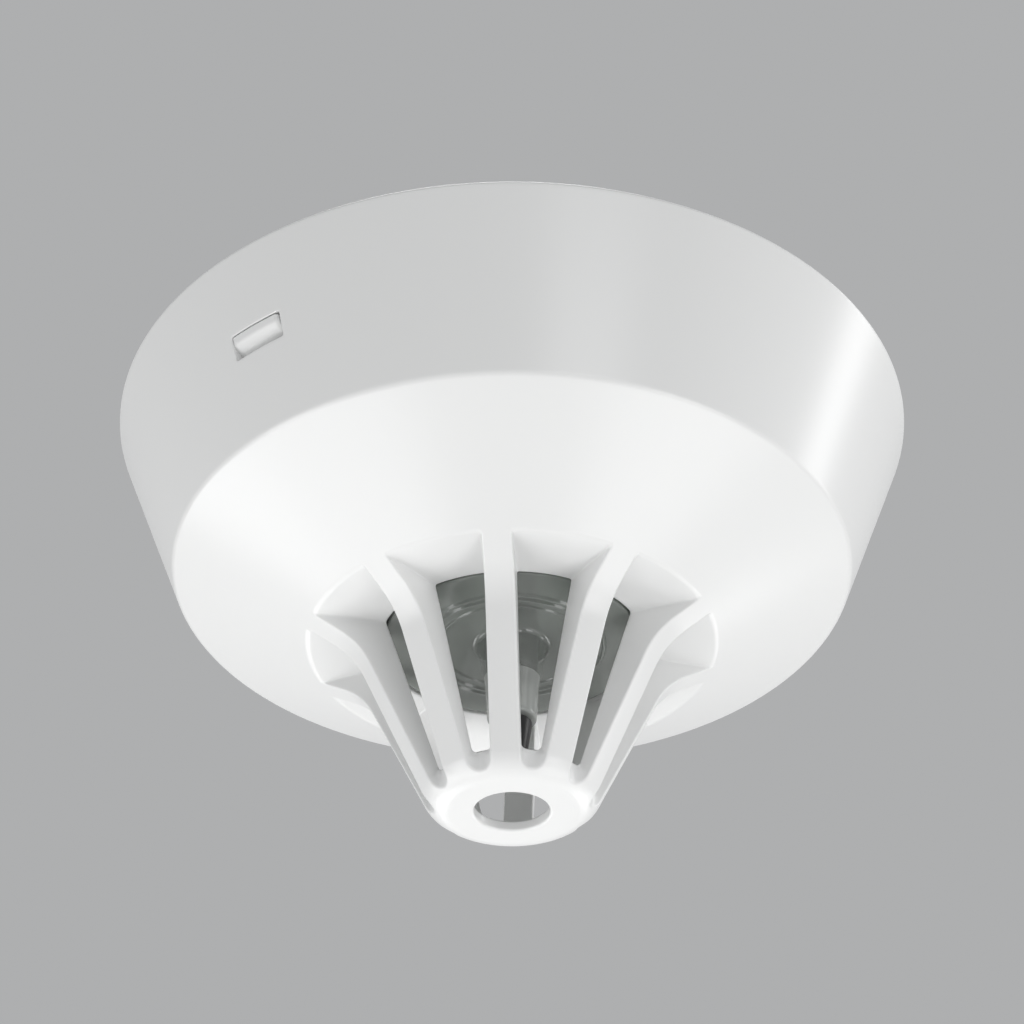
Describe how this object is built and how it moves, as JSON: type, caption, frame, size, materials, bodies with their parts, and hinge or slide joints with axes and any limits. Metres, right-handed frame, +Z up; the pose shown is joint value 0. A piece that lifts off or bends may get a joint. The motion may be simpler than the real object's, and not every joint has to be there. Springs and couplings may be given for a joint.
{
  "type": "heat detector",
  "caption": "Round ceiling heat detector: tapered white cover with a ribbed vented cage over a sensing bead, twisting onto a fixed wiring base.",
  "frame": {"origin": "centre of the base's ceiling face", "axes": "+Z up into the ceiling, so the detector hangs below its origin; -Y is the side the picture is taken from, and one cage rib points along -Y"},
  "size_m": [0.105, 0.105, 0.0567],
  "materials": {
    "cover_white": "satin moulded ABS, fine gloss",
    "smoky_clear": "clear polycarbonate with a smoky green tint",
    "bead_black": "glossy black epoxy",
    "sleeve_grey": "dull dark grey sleeving",
    "tinned_wire": "bright tinned copper",
    "circuit_board": "green solder mask",
    "led_red": "tinted clear epoxy",
    "chip_black": "black moulding compound",
    "capacitor_can": "plain aluminium can",
    "suppressor_blue": "dipped blue epoxy",
    "base_white": "plain moulded ABS",
    "spring_brass": "rolled phosphor bronze",
    "zinc_steel": "bright zinc plate"
  },
  "bodies": {
    "base": {"base_plate": "base_white", "base_terminal_1": "spring_brass", "base_terminal_2": "spring_brass", "base_terminal_3": "spring_brass", "base_terminal_4": "spring_brass", "clamp_washer_1": "zinc_steel", "clamp_washer_2": "zinc_steel", "clamp_washer_3": "zinc_steel", "clamp_washer_4": "zinc_steel", "terminal_screw_1": "zinc_steel", "terminal_screw_2": "zinc_steel", "terminal_screw_3": "zinc_steel", "terminal_screw_4": "zinc_steel"},
    "head": {"outer_cover": "cover_white", "light_guide": "smoky_clear", "thermistor_bead": "bead_black", "thermistor_sleeve": "sleeve_grey", "thermistor_lead_1": "tinned_wire", "thermistor_lead_2": "tinned_wire", "circuit_board": "circuit_board", "indicator_led_1": "led_red", "indicator_led_2": "led_red", "microcontroller": "chip_black", "bridge_rectifier": "chip_black", "voltage_regulator": "chip_black", "smoothing_capacitor": "capacitor_can", "surge_suppressor": "suppressor_blue", "reference_thermistor": "bead_black", "chassis": "base_white", "contact_spring_1": "spring_brass", "contact_spring_2": "spring_brass", "contact_spring_3": "spring_brass", "contact_spring_4": "spring_brass", "contact_rivet_1": "tinned_wire", "contact_rivet_2": "tinned_wire", "contact_rivet_3": "tinned_wire", "contact_rivet_4": "tinned_wire", "chassis_screw_1": "zinc_steel", "chassis_screw_2": "zinc_steel", "chassis_screw_3": "zinc_steel"},
    "release_tab": {"release_tab": "cover_white"}
  },
  "joints": [
    {"name": "head_twist", "type": "hinge", "parent": "base", "child": "head", "pos_m": [0, 0, 0], "axis": [0, 0, -1], "range_deg": [0, 18]},
    {"name": "tab_press", "type": "slide", "parent": "head", "child": "release_tab", "axis": [0.5878, 0.809, 0], "range_m": [0, 0.0018], "stiffness_N_per_m": 1500}
  ]
}
